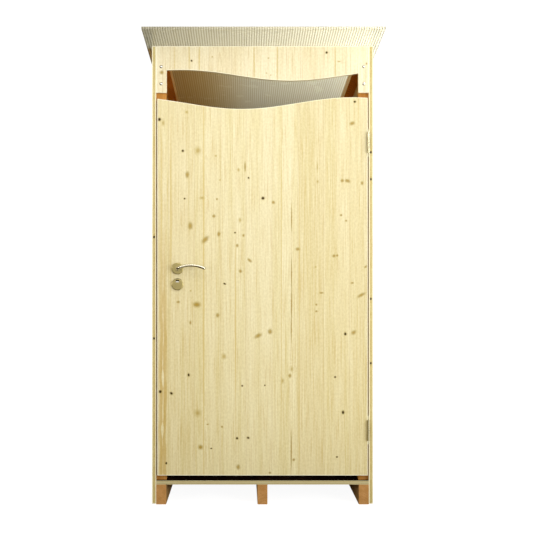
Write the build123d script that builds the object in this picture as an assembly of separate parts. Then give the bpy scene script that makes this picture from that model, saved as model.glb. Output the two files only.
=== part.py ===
from build123d import *
from math import cos, pi, radians, tan
import os

# Wooden outhouse: a single cabin of three-ply spruce panels on three runners, with a
# wave-topped door, a wave-cut lintel above it and a sloping twin-wall sheet roof.
# Millimetres. The origin is on the ground under the middle of the footprint,
# +X to the right as seen from the front, +Y to the back and +Z up.

# ---- driving dimensions: cabin ----
BODY_WIDTH = 1000  # over the two side panels
BODY_DEPTH = 1250  # front plane to back plane
FRONT_HEIGHT = 2073  # ground to the roof's underside at the front plane
ROOF_SLOPE = 6  # degrees, falling to the back
PANEL = 19  # three-ply board
FLOOR_BOARD = 18  # film-faced plywood
TIMBER = 45  # posts and roof battens, square
RUNNER_WIDTH = 45
RUNNER_HEIGHT = 90
SIDE_PANEL_LIFT = 3  # ground to the side panels' lower edges

# ---- driving dimensions: roof sheet ----
SHEET = 10  # twin-wall sheet, overall thickness
SHEET_SKIN = 0.6
SHEET_RIB = 0.5
FLUTE_PITCH = 11
ROOF_SIDE_OVERHANG = 25
ROOF_FRONT_OVERHANG = 217  # level distance in front of the front plane
ROOF_BACK_OVERHANG = 90

# ---- driving dimensions: wave edges, lintel and door ----
WAVE_LENGTH = 1000  # crest to crest of both wave edges
LINTEL_DEPTH = 156  # top edge to the wave's lowest point
LINTEL_WAVE_RISE = 49.3  # lowest to highest point of the lintel's wave
LINTEL_TROUGH_X = 127
LINTEL_LEG_WIDTH = 47
LEG_TO_DOOR_GAP = 22
VENT_GAP = 76  # the lintel's lowest point to the door's highest
DOOR_WAVE_RISE = 52.8
DOOR_TROUGH_X = -95
DOOR_SIDE_GAP = 5.5
DOOR_POST_GAP = 5
DOOR_SILL_GAP = 24
WAVE_STEPS = 12  # spans of the curve through each wave edge

# ---- driving dimensions: bolts and roof screws ----
BOLT_HEAD_RADIUS = 8
BOLT_HEAD_HEIGHT = 4.5
BOLT_SHANK_RADIUS = 4
BOLT_SHANK_LENGTH = 60
BOLT_TOP_DROP = 92  # lintel's top edge to the upper bolt
BOLT_SPACING = 78
SCREW_WASHER_RADIUS = 12.5
SCREW_WASHER_HEIGHT = 2
SCREW_HEAD_RADIUS = 5
SCREW_HEAD_HEIGHT = 3.5
SCREW_SHANK_RADIUS = 2.75
SCREW_BITE = 30  # how far a roof screw reaches into its batten
SCREW_END_MARGIN = 60  # side batten's end to its first screw
SIDE_SCREWS = 3
PILOT_CLEARANCE = 0.25

# ---- driving dimensions: hinges ----
HINGE_INSET = 205  # door's lower edge, or its highest point, to a hinge's middle
LEAF_HEIGHT = 130
LEAF_THICKNESS = 2
LEAF_DEPTH = 18
LEAF_EDGE_MARGIN = 0.5  # leaf's edge inside the wood's edge
BARREL_RADIUS = 7
BARREL_HEIGHT = 94
BARREL_DOOR_GAP = 0.3
KNUCKLE_GAP = 0.3
PIN_RADIUS = 4
PIN_CLEARANCE = 0.05
KNUCKLE_CAP = 2  # metal left beyond each end of the pin's bore

# ---- driving dimensions: lock and handles ----
HANDLE_HEIGHT = 959  # floor to the handle's spindle
LOCK_DROP = 72  # handle's spindle to the privacy spindle
LOCK_BACKSET = 43  # lock case's edge to both spindles
LOCK_WIDTH = 90
LOCK_THICKNESS = 15
LOCK_END_MARGIN = 40  # spindle to the lock case's nearer end
LOCK_CORNER_RADIUS = 4
LOCK_CLEARANCE = 6  # bolt ends to the strike plate
BOLT_END_PROUD = 0.8
LATCH_END = (10, 22)  # thickness and height
DEADBOLT_END = (10, 30)
STRIKE_THICKNESS = 2
STRIKE_DEPTH = 24
DOOR_BORE_RADIUS = 11
ROSE_RADIUS = 26
ROSE_THICKNESS = 8.5
ROSE_EDGE_FILLET = 3
ROSE_SHELL = 1.5
NECK_RADIUS = 9
NECK_LENGTH = 13
NECK_DOOR_GAP = 1
SPINDLE_SIZE = 8
SPINDLE_BITE = 12  # spindle's length inside each lever's neck
SPINDLE_END_GAP = 0.5
GRIP_RADIUS = 7.25
GRIP_REACH = 130  # spindle to the lever's tip
GRIP_TIP_RISE = 1
GRIP_START_ANGLE = 20  # degrees above level where the grip leaves its bend
GRIP_STANDOFF = 55  # mounting face to the grip's centre line
GRIP_BEND_RADIUS = 16
PRIVACY_SHAFT = 6
COIN_DISC_RADIUS = 8
COIN_DISC_PROUD = 1
COIN_SLOT_WIDTH = 1.6
COIN_SLOT_LENGTH = 11
COIN_SLOT_DEPTH = 1.5
COIN_SLOT_ANGLE = 25  # degrees below level, falling to the right
INDICATOR_RADIUS = 15.5
INDICATOR_THICKNESS = 1
WINDOW_WIDTH = 15
WINDOW_HEIGHT = 11
WINDOW_RISE = 15.5  # lock rose's centre to its window's centre
TURN_WING_WIDTH = 7
TURN_WING_LENGTH = 30
TURN_WING_HEIGHT = 20
TURN_BASE_HEIGHT = 12

# ---- places worked out from the driving dimensions ----
front_y = -BODY_DEPTH / 2
back_y = BODY_DEPTH / 2
inner_x = BODY_WIDTH / 2 - PANEL  # side panels' inner faces
post_front_y = front_y + PANEL
post_back_y = back_y - PANEL
floor_top = RUNNER_HEIGHT + FLOOR_BOARD
post_centre_x = inner_x - TIMBER / 2
batten_drop = TIMBER / cos(radians(ROOF_SLOPE))  # roof batten's depth, measured upright

lintel_low = FRONT_HEIGHT - LINTEL_DEPTH
door_high = lintel_low - VENT_GAP
door_low = door_high - DOOR_WAVE_RISE
door_bottom = floor_top + DOOR_SILL_GAP
door_half = inner_x - DOOR_SIDE_GAP
door_back_y = post_front_y - DOOR_POST_GAP
door_front_y = door_back_y - PANEL
leg_bottom = door_high + LEG_TO_DOOR_GAP

hinge_x = inner_x - DOOR_SIDE_GAP / 2
hinge_y = door_front_y - BARREL_DOOR_GAP - BARREL_RADIUS

handle_z = floor_top + HANDLE_HEIGHT
privacy_z = handle_z - LOCK_DROP
strike_x = -inner_x + TIMBER + STRIKE_THICKNESS
lock_edge_x = strike_x + LOCK_CLEARANCE + BOLT_END_PROUD
handle_x = lock_edge_x + LOCK_BACKSET
lock_face_y = door_back_y + LOCK_THICKNESS

roof_place = Location((0, front_y, FRONT_HEIGHT), (-ROOF_SLOPE, 0, 0))


def roof_underside(y, drop=0):
    """Height of the roof's underside at y, less drop."""
    return FRONT_HEIGHT - (y - front_y) * tan(radians(ROOF_SLOPE)) - drop


def box(x, y, z):
    """Box between pairs of coordinates."""
    size = Box(x[1] - x[0], y[1] - y[0], z[1] - z[0])
    return Pos((x[0] + x[1]) / 2, (y[0] + y[1]) / 2, (z[0] + z[1]) / 2) * size


def rod_along_y(radius, y, x, z):
    """Round bar along Y between two coordinates."""
    bar = Cylinder(radius, y[1] - y[0], rotation=(90, 0, 0))
    return Pos(x, (y[0] + y[1]) / 2, z) * bar


def under_roof(x, y, bottom, drop=0):
    """Upright piece from bottom to a sloped top that lies drop below the roof's underside."""
    start, end = y
    corners = [
        (start, bottom),
        (end, bottom),
        (end, roof_underside(end, drop)),
        (start, roof_underside(start, drop)),
    ]
    profile = Plane.YZ.offset(x[0]) * make_face(Polyline(*corners, close=True))
    return extrude(profile, x[1] - x[0])


def wave_points(x, trough_x, low, rise):
    """Points along a cosine wave between two values of x."""
    steps = [x[0] + (x[1] - x[0]) * i / WAVE_STEPS for i in range(WAVE_STEPS + 1)]
    return [(s, low + rise / 2 * (1 - cos(2 * pi * (s - trough_x) / WAVE_LENGTH))) for s in steps]


def panel_from_outline(points, wave, y):
    """Panel whose outline is a wave edge closed by straight lines through points."""
    edges = [Spline(*wave), Polyline(wave[-1], *points, wave[0])]
    face = Plane.XZ.offset(-y[0]) * make_face(edges)
    return extrude(face, y[1] - y[0], dir=(0, 1, 0))


# ---- floor and walls ----
def make_runner(centre_x):
    """Floor runner, standing on the ground."""
    half = RUNNER_WIDTH / 2
    return box((centre_x - half, centre_x + half), (front_y, back_y), (0, RUNNER_HEIGHT))


def make_floor():
    """Floor panel on the runners, between the side panels."""
    return box((-inner_x, inner_x), (front_y, back_y), (RUNNER_HEIGHT, floor_top))


def make_side_panel(side):
    """Full-depth side wall with a sloped top edge; side is -1 on the left and 1 on the right."""
    x = sorted((side * inner_x, side * BODY_WIDTH / 2))
    return under_roof(x, (front_y, back_y), SIDE_PANEL_LIFT)


def make_back_panel():
    """Back wall, standing on the floor between the side panels."""
    return under_roof((-inner_x, inner_x), (post_back_y, back_y), floor_top)


def bolt_spots(side):
    """Heights of one lintel leg's bolts, on the post's centre line."""
    top = FRONT_HEIGHT - BOLT_TOP_DROP
    return [(side * post_centre_x, top), (side * post_centre_x, top - BOLT_SPACING)]


def make_post(side, y, bolted):
    """Corner post from the floor to the side batten's underside."""
    x = sorted((side * inner_x, side * (inner_x - TIMBER)))
    post = under_roof(x, y, floor_top, batten_drop)
    for spot_x, spot_z in bolt_spots(side) if bolted else []:
        post -= bolt_hole(spot_x, spot_z)
    return post


def make_lintel():
    """Panel over the door: wavy lower edge between two legs bolted to the posts."""
    leg_x = inner_x - LINTEL_LEG_WIDTH
    wave = wave_points((-leg_x, leg_x), LINTEL_TROUGH_X, lintel_low, LINTEL_WAVE_RISE)
    outline = [
        (leg_x, leg_bottom),
        (inner_x, leg_bottom),
        (inner_x, FRONT_HEIGHT),
        (-inner_x, FRONT_HEIGHT),
        (-inner_x, leg_bottom),
        (-leg_x, leg_bottom),
    ]
    lintel = panel_from_outline(outline, wave, (front_y, post_front_y))
    lintel &= under_roof((-inner_x, inner_x), (front_y, post_front_y), 0)
    for side in (-1, 1):
        for spot_x, spot_z in bolt_spots(side):
            lintel -= bolt_hole(spot_x, spot_z)
    return lintel


def bolt_hole(x, z):
    """Hole for one lintel bolt's shank, with a little room past its end."""
    end_y = front_y + BOLT_SHANK_LENGTH + PILOT_CLEARANCE
    return rod_along_y(BOLT_SHANK_RADIUS + PILOT_CLEARANCE, (front_y, end_y), x, z)


def make_bolt(x, z):
    """Domed bolt through the lintel into the post."""
    sphere_radius = (BOLT_HEAD_RADIUS**2 + BOLT_HEAD_HEIGHT**2) / (2 * BOLT_HEAD_HEIGHT)
    ball = Pos(x, front_y - BOLT_HEAD_HEIGHT + sphere_radius, z) * Sphere(sphere_radius)
    head = ball & rod_along_y(BOLT_HEAD_RADIUS * 2, (front_y - sphere_radius, front_y), x, z)
    shank = rod_along_y(BOLT_SHANK_RADIUS, (front_y - 1, front_y + BOLT_SHANK_LENGTH), x, z)
    return head + shank


def make_bolts():
    """The four lintel bolts."""
    spots = [spot for side in (-1, 1) for spot in bolt_spots(side)]
    return Compound([make_bolt(x, z).solid() for x, z in spots])


# ---- roof ----
def along_roof(y):
    """Distance along the sheet from the front plane to y on its underside."""
    return (y - front_y) / cos(radians(ROOF_SLOPE))


def screw_spots():
    """Roof screws as x and distance along the sheet: a row on each side batten, one on each cross batten."""
    first = post_front_y + SCREW_END_MARGIN
    step = (post_back_y - SCREW_END_MARGIN - first) / (SIDE_SCREWS - 1)
    rows = [first + step * i for i in range(SIDE_SCREWS)]
    sides = [(side * post_centre_x, along_roof(y)) for side in (-1, 1) for y in rows]
    cross = [(0, along_roof(post_front_y + TIMBER / 2)), (0, along_roof(post_back_y - TIMBER / 2))]
    return sides + cross


def screw_holes():
    """Holes for all roof screws, through the sheet and into the battens."""
    length = SHEET + SCREW_BITE + 2 * PILOT_CLEARANCE
    middle = (SHEET - SCREW_BITE) / 2
    hole = Cylinder(SCREW_SHANK_RADIUS + PILOT_CLEARANCE, length)
    return [roof_place * Pos(x, along, middle) * hole for x, along in screw_spots()]


def make_batten(x, y):
    """Roof batten under the sheet, following its slope."""
    start, end = y
    corners = [
        (start, roof_underside(start, batten_drop)),
        (end, roof_underside(end, batten_drop)),
        (end, roof_underside(end)),
        (start, roof_underside(start)),
    ]
    profile = Plane.YZ.offset(x[0]) * make_face(Polyline(*corners, close=True))
    batten = extrude(profile, x[1] - x[0])
    for hole in screw_holes():
        batten -= hole
    return batten


def make_side_batten(side):
    """Batten along the top of a side panel, from the lintel to the back panel."""
    x = sorted((side * inner_x, side * (inner_x - TIMBER)))
    return make_batten(x, (post_front_y, post_back_y))


def make_cross_batten(y):
    """Batten between the side battens."""
    half = inner_x - TIMBER
    return make_batten((-half, half), y)


def make_sheet():
    """Twin-wall roof sheet: two skins joined by ribs that run from front to back."""
    width = BODY_WIDTH + 2 * ROOF_SIDE_OVERHANG
    flutes = int((width - SHEET_RIB) // FLUTE_PITCH)
    flute = Rectangle(FLUTE_PITCH - SHEET_RIB, SHEET - 2 * SHEET_SKIN)
    section = Rectangle(width, SHEET) - GridLocations(FLUTE_PITCH, 1, flutes, 1) * flute
    front = along_roof(front_y - ROOF_FRONT_OVERHANG)
    length = along_roof(back_y + ROOF_BACK_OVERHANG) - front
    sheet = extrude(Plane.XZ.offset(-front) * Pos(0, SHEET / 2) * section, length, dir=(0, 1, 0))
    sheet = roof_place * sheet
    for hole in screw_holes():
        sheet -= hole
    return sheet


def make_roof_screw(x, along):
    """Screw with a wide washer, square to the sheet."""
    base = (Align.CENTER, Align.CENTER, Align.MIN)
    washer = Pos(0, 0, SHEET) * Cylinder(SCREW_WASHER_RADIUS, SCREW_WASHER_HEIGHT, align=base)
    washer = chamfer(washer.edges().group_by(Axis.Z)[-1], SCREW_WASHER_HEIGHT / 2)
    head = Pos(0, 0, SHEET + SCREW_WASHER_HEIGHT) * Cylinder(SCREW_HEAD_RADIUS, SCREW_HEAD_HEIGHT, align=base)
    head = chamfer(head.edges().group_by(Axis.Z)[-1], SCREW_HEAD_HEIGHT / 3)
    shank = Pos(0, 0, -SCREW_BITE) * Cylinder(SCREW_SHANK_RADIUS, SCREW_BITE + SHEET + 1, align=base)
    return roof_place * Pos(x, along, 0) * (washer + head + shank)


def make_roof_screws():
    """All roof screws."""
    return Compound([make_roof_screw(x, along).solid() for x, along in screw_spots()])


# ---- door and hinges ----
def make_door():
    """Door panel with a wavy top, bored for both spindles."""
    wave = wave_points((-door_half, door_half), DOOR_TROUGH_X, door_low, DOOR_WAVE_RISE)
    outline = [(door_half, door_bottom), (-door_half, door_bottom)]
    door = panel_from_outline(outline, wave, (door_front_y, door_back_y))
    for spindle_z in (handle_z, privacy_z):
        door -= rod_along_y(DOOR_BORE_RADIUS, (door_front_y - 1, door_back_y + 1), handle_x, spindle_z)
    return door


def barrel(radius, z):
    """Upright cylinder on the hinge axis."""
    return Pos(hinge_x, hinge_y, (z[0] + z[1]) / 2) * Cylinder(radius, z[1] - z[0])


def make_leaf(x, plate_y, knuckle_z, bore_z, centre_z):
    """Hinge leaf: a plate against the wood, linked to one knuckle."""
    plate = box(x, plate_y, (centre_z - LEAF_HEIGHT / 2, centre_z + LEAF_HEIGHT / 2))
    link = box(x, (hinge_y, plate_y[1]), knuckle_z)
    knuckle = barrel(BARREL_RADIUS, knuckle_z)
    return plate + link + knuckle - barrel(PIN_RADIUS + PIN_CLEARANCE, bore_z)


def make_hinge(centre_z):
    """Lift-off hinge: frame leaf with the lower knuckle, door leaf with the upper one, and the pin."""
    bottom = centre_z - BARREL_HEIGHT / 2
    top = centre_z + BARREL_HEIGHT / 2
    lower = (bottom, centre_z - KNUCKLE_GAP / 2)
    upper = (centre_z + KNUCKLE_GAP / 2, top)
    bore = (bottom + KNUCKLE_CAP, top - KNUCKLE_CAP)
    frame_y = front_y + LEAF_EDGE_MARGIN
    door_y = door_front_y + LEAF_EDGE_MARGIN
    frame_leaf = make_leaf(
        (inner_x - LEAF_THICKNESS, inner_x), (frame_y, frame_y + LEAF_DEPTH), lower, bore, centre_z
    )
    door_leaf = make_leaf(
        (door_half, door_half + LEAF_THICKNESS), (door_y, door_y + LEAF_DEPTH), upper, bore, centre_z
    )
    pin = barrel(PIN_RADIUS, (bore[0], bore[1] - KNUCKLE_GAP))
    return frame_leaf, door_leaf, pin


# ---- lock, roses, levers and privacy turn ----
def make_lock_case():
    """Rim lock on the door's back, with both bolt ends withdrawn."""
    z = (privacy_z - LOCK_END_MARGIN, handle_z + LOCK_END_MARGIN)
    case = box((lock_edge_x, lock_edge_x + LOCK_WIDTH), (door_back_y, lock_face_y), z)
    case = fillet(case.edges().filter_by(Axis.Y), LOCK_CORNER_RADIUS)
    middle_y = (door_back_y + lock_face_y) / 2
    for (thickness, height), end_z in ((LATCH_END, handle_z), (DEADBOLT_END, privacy_z)):
        case += box(
            (lock_edge_x - BOLT_END_PROUD, lock_edge_x + LOCK_CORNER_RADIUS),
            (middle_y - thickness / 2, middle_y + thickness / 2),
            (end_z - height / 2, end_z + height / 2),
        )
    span = (door_back_y - 1, lock_face_y + 1)
    case -= rod_along_y(SPINDLE_SIZE, span, handle_x, handle_z)
    return case - rod_along_y(PRIVACY_SHAFT, span, handle_x, privacy_z)


def make_strike():
    """Strike plate on the left front post, level with the lock case, with a hole for each bolt."""
    middle_y = (door_back_y + lock_face_y) / 2
    y = (post_front_y, post_front_y + STRIKE_DEPTH)
    z = (privacy_z - LOCK_END_MARGIN, handle_z + LOCK_END_MARGIN)
    plate = box((strike_x - STRIKE_THICKNESS, strike_x), y, z)
    for (thickness, height), end_z in ((LATCH_END, handle_z), (DEADBOLT_END, privacy_z)):
        plate -= box(
            (strike_x - 2 * STRIKE_THICKNESS, strike_x + 1),
            (middle_y - thickness, middle_y + thickness / 2),
            (end_z - height / 2 - 1, end_z + height / 2 + 1),
        )
    return plate


def rose_blank(hole_radius):
    """Round rose on the plane y=0, growing towards -Y, with a rounded rim and a centre hole."""
    rose = rod_along_y(ROSE_RADIUS, (-ROSE_THICKNESS, 0), 0, 0)
    rose = fillet(rose.edges().group_by(Axis.Y)[0], ROSE_EDGE_FILLET)
    return rose - rod_along_y(hole_radius, (-ROSE_THICKNESS - 1, 1), 0, 0)


def make_indicator_rose():
    """Outside lock rose: hollow behind, with a window over its centre."""
    rose = rose_blank(COIN_DISC_RADIUS + PIN_CLEARANCE)
    face_y = -ROSE_THICKNESS + ROSE_SHELL
    rose -= rod_along_y(ROSE_RADIUS - ROSE_EDGE_FILLET, (face_y, 1), 0, 0)
    half = WINDOW_WIDTH / 2
    rise = (WINDOW_RISE - WINDOW_HEIGHT / 2, WINDOW_RISE + WINDOW_HEIGHT / 2)
    return rose - box((-half, half), (-ROSE_THICKNESS - 1, 0), rise)


def make_lever():
    """Lever on the plane y=0, neck towards -Y and grip to the right in a gentle arch."""
    angle = radians(GRIP_START_ANGLE)
    heading = Vector(cos(angle), 0, (1 - cos(angle) ** 2) ** 0.5)
    bend_start = Vector(0, GRIP_BEND_RADIUS - GRIP_STANDOFF, 0)
    bend_end = Vector(0, -GRIP_STANDOFF, 0) + heading * GRIP_BEND_RADIUS
    tip = Vector(GRIP_REACH - GRIP_RADIUS, -GRIP_STANDOFF, GRIP_TIP_RISE)
    neck_end = Vector(0, -NECK_DOOR_GAP - NECK_LENGTH + 1, 0)
    neck_line = Line(neck_end, bend_start)
    bend = TangentArc(bend_start, bend_end, tangent=(0, -1, 0))
    grip = TangentArc(bend_end, tip, tangent=heading)
    section = Plane(neck_end, z_dir=(0, -1, 0)) * Circle(GRIP_RADIUS)
    bar = sweep(section, path=Wire([neck_line, bend, grip]))
    neck = rod_along_y(NECK_RADIUS, (-NECK_DOOR_GAP - NECK_LENGTH, -NECK_DOOR_GAP), 0, 0)
    neck = fillet(neck.edges().group_by(Axis.Y)[0], 1)
    half = SPINDLE_SIZE / 2
    socket = box((-half, half), (-NECK_DOOR_GAP - SPINDLE_BITE - SPINDLE_END_GAP, 0), (-half, half))
    return bar + neck + Pos(*tip) * Sphere(GRIP_RADIUS) - socket


def outside_place(z):
    """Place of the outside fittings at a spindle: on the door's front face."""
    return Pos(handle_x, door_front_y, z)


def on_inside(shape, z):
    """Mirrors a fitting and sets it on the lock case's face."""
    return Pos(handle_x, lock_face_y, z) * mirror(shape, Plane.XZ)


def make_spindle():
    """Square spindle that joins both levers."""
    half = SPINDLE_SIZE / 2
    reach = NECK_DOOR_GAP + SPINDLE_BITE
    y = (door_front_y - reach, lock_face_y + reach)
    return box((handle_x - half, handle_x + half), y, (handle_z - half, handle_z + half))


def make_privacy_shaft():
    """Slotted disc in the outside lock rose, on the square shaft that the inside turn drives."""
    disc_front = -ROSE_THICKNESS - COIN_DISC_PROUD
    indicator_front = -ROSE_THICKNESS + ROSE_SHELL + INDICATOR_THICKNESS
    disc = rod_along_y(COIN_DISC_RADIUS, (disc_front, indicator_front), 0, 0)
    slot = Box(COIN_SLOT_LENGTH, COIN_SLOT_DEPTH * 2, COIN_SLOT_WIDTH)
    disc -= Pos(0, disc_front, 0) * Rot(0, COIN_SLOT_ANGLE, 0) * slot
    half = PRIVACY_SHAFT / 2
    length = lock_face_y - door_front_y + NECK_DOOR_GAP + SPINDLE_BITE
    return outside_place(privacy_z) * (disc + box((-half, half), (indicator_front, length), (-half, half)))


def make_indicator():
    """Free-or-busy disc behind the window, on the privacy shaft."""
    front = -ROSE_THICKNESS + ROSE_SHELL + INDICATOR_THICKNESS
    disc = rod_along_y(INDICATOR_RADIUS, (front, front + INDICATOR_THICKNESS), 0, 0)
    half = PRIVACY_SHAFT / 2
    disc -= box((-half, half), (front - 1, front + INDICATOR_THICKNESS + 1), (-half, half))
    return outside_place(privacy_z) * disc


def make_turn():
    """Inside thumb turn: round base in the rose and an upright wing."""
    end = -NECK_DOOR_GAP - TURN_BASE_HEIGHT
    base = rod_along_y(NECK_RADIUS, (end, -NECK_DOOR_GAP), 0, 0)
    base = fillet(base.edges().group_by(Axis.Y)[0], 1)
    wing = Box(TURN_WING_WIDTH, TURN_WING_HEIGHT, TURN_WING_LENGTH)
    wing = fillet(wing.edges().filter_by(Axis.X), TURN_WING_WIDTH / 2)
    half = PRIVACY_SHAFT / 2
    socket = box((-half, half), (-NECK_DOOR_GAP - SPINDLE_BITE - SPINDLE_END_GAP, 0), (-half, half))
    return base + Pos(0, end + 1 - TURN_WING_HEIGHT / 2, 0) * wing - socket


def make_all():
    """Every named piece of the outhouse."""
    pieces = {
        "runner_left": make_runner(-inner_x + RUNNER_WIDTH / 2),
        "runner_middle": make_runner(0),
        "runner_right": make_runner(inner_x - RUNNER_WIDTH / 2),
        "floor_panel": make_floor(),
        "back_panel": make_back_panel(),
        "lintel_panel": make_lintel(),
        "lintel_bolts": make_bolts(),
        "roof_batten_front": make_cross_batten((post_front_y, post_front_y + TIMBER)),
        "roof_batten_back": make_cross_batten((post_back_y - TIMBER, post_back_y)),
        "roof_sheet": make_sheet(),
        "roof_screws": make_roof_screws(),
        "strike_plate": make_strike(),
        "door_panel": make_door(),
        "lock_case": make_lock_case(),
        "handle_spindle": make_spindle(),
        "privacy_shaft": make_privacy_shaft(),
        "indicator_disc": make_indicator(),
    }
    for name, side in (("left", -1), ("right", 1)):
        pieces[f"side_panel_{name}"] = make_side_panel(side)
        pieces[f"front_post_{name}"] = make_post(side, (post_front_y, post_front_y + TIMBER), True)
        pieces[f"back_post_{name}"] = make_post(side, (post_back_y - TIMBER, post_back_y), False)
        pieces[f"roof_batten_{name}"] = make_side_batten(side)
    hinge_heights = {"lower": door_bottom + HINGE_INSET, "upper": door_high - HINGE_INSET}
    for name, centre_z in hinge_heights.items():
        frame_leaf, door_leaf, pin = make_hinge(centre_z)
        pieces[f"{name}_hinge_frame_leaf"] = frame_leaf
        pieces[f"{name}_hinge_door_leaf"] = door_leaf
        pieces[f"{name}_hinge_pin"] = pin
    plain_rose = rose_blank(NECK_RADIUS + PIN_CLEARANCE)
    lever = make_lever()
    pieces["handle_rose_outside"] = outside_place(handle_z) * plain_rose
    pieces["handle_rose_inside"] = on_inside(plain_rose, handle_z)
    pieces["lock_rose_outside"] = outside_place(privacy_z) * make_indicator_rose()
    pieces["lock_rose_inside"] = on_inside(plain_rose, privacy_z)
    pieces["lever_outside"] = outside_place(handle_z) * lever
    pieces["lever_inside"] = on_inside(lever, handle_z)
    pieces["thumb_turn"] = on_inside(make_turn(), privacy_z)
    return pieces


os.makedirs("parts", exist_ok=True)
for piece_name, piece in make_all().items():
    export_step(piece, f"parts/{piece_name}.step")
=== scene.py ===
import logging
import math
from collections.abc import Iterable, Sequence
from dataclasses import dataclass, field, replace
from enum import Enum, IntEnum
from functools import cached_property, partialmethod
from typing import ClassVar, Union

import bmesh
import bpy
from mathutils import Matrix, Vector


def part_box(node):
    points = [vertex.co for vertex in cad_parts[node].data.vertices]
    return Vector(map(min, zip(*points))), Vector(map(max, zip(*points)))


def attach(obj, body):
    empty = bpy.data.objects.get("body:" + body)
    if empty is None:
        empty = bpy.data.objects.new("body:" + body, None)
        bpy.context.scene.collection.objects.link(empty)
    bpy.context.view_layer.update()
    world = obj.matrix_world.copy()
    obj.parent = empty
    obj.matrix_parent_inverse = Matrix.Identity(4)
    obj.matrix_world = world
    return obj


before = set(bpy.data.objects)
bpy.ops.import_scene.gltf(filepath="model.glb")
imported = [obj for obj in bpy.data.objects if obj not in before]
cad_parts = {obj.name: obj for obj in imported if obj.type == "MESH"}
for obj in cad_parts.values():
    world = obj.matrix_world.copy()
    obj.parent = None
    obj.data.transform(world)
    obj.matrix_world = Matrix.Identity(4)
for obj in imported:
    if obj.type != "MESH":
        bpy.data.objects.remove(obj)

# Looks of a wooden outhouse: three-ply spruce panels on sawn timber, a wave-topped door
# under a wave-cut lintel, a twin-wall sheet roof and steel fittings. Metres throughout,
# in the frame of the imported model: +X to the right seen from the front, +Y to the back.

log = logging.getLogger("outhouse")

MM = 0.001
# How squarely a face has to look along an axis to count as facing it.
SQUARE = 0.7
ROOF_FALL = math.radians(6.0)
SHARP_ANGLE = math.radians(35)
# Turn from one screw's recess to the next one's.
SCREW_SPIN = 0.7
RUNNERS = ("runner_left", "runner_middle", "runner_right")

Triple = tuple[float, float, float]
Colour = Triple
Feed = Union["Wire", float, tuple]

WHITE: Colour = (1.0, 1.0, 1.0)


class Axis(IntEnum):
    """Axis of the row frame, by its place in a vector."""

    X = 0
    Y = 1
    Z = 2


class Shade(Enum):
    """How dark a knot or a streak in the wood is."""

    DARK = "dark"
    BROWN = "brown"
    SOFT = "soft"
    STRAW = "straw"
    # Painted shade: dark patch on the door inside the hollow lock rose
    STAIN = "stain"


@dataclass(frozen=True)
class Mark:
    """Knot or streak on a board's face, given in millimetres."""

    across: float  # Place across the grain
    along: float  # Place along the grain
    width: float  # Size across the grain
    height: float  # Size along the grain
    tilt: float = 0.0  # Degrees that its long side leans


Marks = dict[Shade, tuple[Mark, ...]]


def marks(*rows: tuple[float, ...]) -> tuple[Mark, ...]:
    """Marks from rows of place across and along, width, height and tilt."""
    return tuple(Mark(*row) for row in rows)


def middle(low: Vector, high: Vector) -> Vector:
    """Middle of a box."""
    return (low + high) / 2


# ---- shader node helpers ----
class Wire:
    """Output of a node, which can be reckoned with like a number."""

    def __init__(self, graph: "Graph", socket: bpy.types.NodeSocket | None) -> None:
        """Keeps the socket and the graph that it belongs to."""
        self.graph = graph
        self.socket = socket

    def math(self, operation: str, *others: Feed) -> "Wire":
        """Result of a Math node that starts from this value."""
        return self.graph.math(operation, self, *others)

    __add__ = partialmethod(math, "ADD")
    __sub__ = partialmethod(math, "SUBTRACT")
    __mul__ = partialmethod(math, "MULTIPLY")
    __truediv__ = partialmethod(math, "DIVIDE")
    __pow__ = partialmethod(math, "POWER")
    __abs__ = partialmethod(math, "ABSOLUTE")
    __gt__ = partialmethod(math, "GREATER_THAN")
    __lt__ = partialmethod(math, "LESS_THAN")
    least = partialmethod(math, "MINIMUM")
    most = partialmethod(math, "MAXIMUM")

    def __rsub__(self, other: float) -> "Wire":
        """Plain number less this value."""
        return self.graph.math("SUBTRACT", other, self)

    def output(self, name: str) -> "Wire":
        """Another output of the same node."""
        return Wire(self.graph, self.socket.node.outputs[name])

    def fade(self, start: float, end: float) -> "Wire":
        """Smooth step from 0 at start to 1 at end; start may be the larger one."""
        places = (start, end, 0.0, 1.0) if start < end else (end, start, 1.0, 0.0)
        return self.graph.add("MapRange", self, *places, interpolation_type="SMOOTHSTEP")

    def spread(self, low: float, high: float) -> "Wire":
        """Value between 0 and 1 carried linearly to low and high."""
        return self.graph.add("MapRange", self, 0.0, 1.0, low, high)

    def parts(self) -> tuple["Wire", "Wire", "Wire"]:
        """The three parts of a vector or a colour."""
        made = self.graph.add("SeparateXYZ", self)
        return made, made.output("Y"), made.output("Z")


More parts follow.
